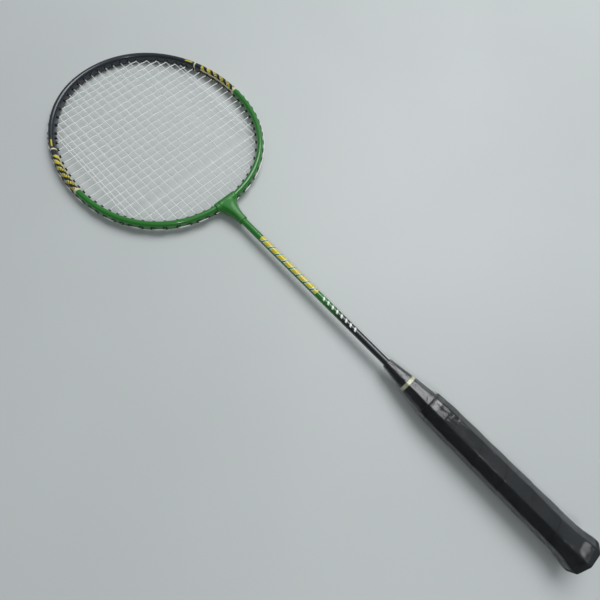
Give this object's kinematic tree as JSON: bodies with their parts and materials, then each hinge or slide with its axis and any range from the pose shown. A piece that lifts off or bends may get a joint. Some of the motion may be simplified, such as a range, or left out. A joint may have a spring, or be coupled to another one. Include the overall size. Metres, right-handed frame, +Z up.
{
  "type": "badminton racket",
  "caption": "Strung badminton racket with an oval alloy tube head, a cast tee joint, a slim steel tube shaft and an octagonal wrapped grip under a clear sleeve.",
  "frame": {"origin": "middle of the bounding box in X and Y, at the surface the racket lies on", "axes": "+X from the butt towards the head tip, +Y across the head, +Z up out of the surface, about one degree off the normal of the string bed"},
  "size_m": [0.6719, 0.2138, 0.034],
  "materials": {
    "green_alloy": "gloss paint",
    "green_steel": "gloss",
    "alloy": "satin",
    "black_plastic": "gloss",
    "grip_rubber": "matte",
    "wood": "matte",
    "tape": "gloss",
    "nylon": "gloss",
    "grommet_nylon": "matte",
    "clear_film": "clear film"
  },
  "bodies": {
    "root": {"head_tube": "green_alloy", "seam_insert": "alloy", "tee_joint": "green_alloy", "shaft": "green_steel", "cone_cap": "black_plastic", "handle_core": "wood", "grip_wrap": "grip_rubber", "finishing_tape": "tape", "butt_disc": "black_plastic", "clear_sleeve": "clear_film", "main_strings": "nylon", "cross_strings": "nylon", "main_knot_left": "nylon", "main_knot_right": "nylon", "cross_knot_tip": "nylon", "cross_knot_throat": "nylon", "grommets_left_1": "grommet_nylon", "grommets_right_1": "grommet_nylon", "grommets_left_2": "grommet_nylon", "grommets_right_2": "grommet_nylon", "grommets_left_3": "grommet_nylon", "grommets_right_3": "grommet_nylon", "grommets_left_4": "grommet_nylon", "grommets_right_4": "grommet_nylon"}
  },
  "joints": []
}
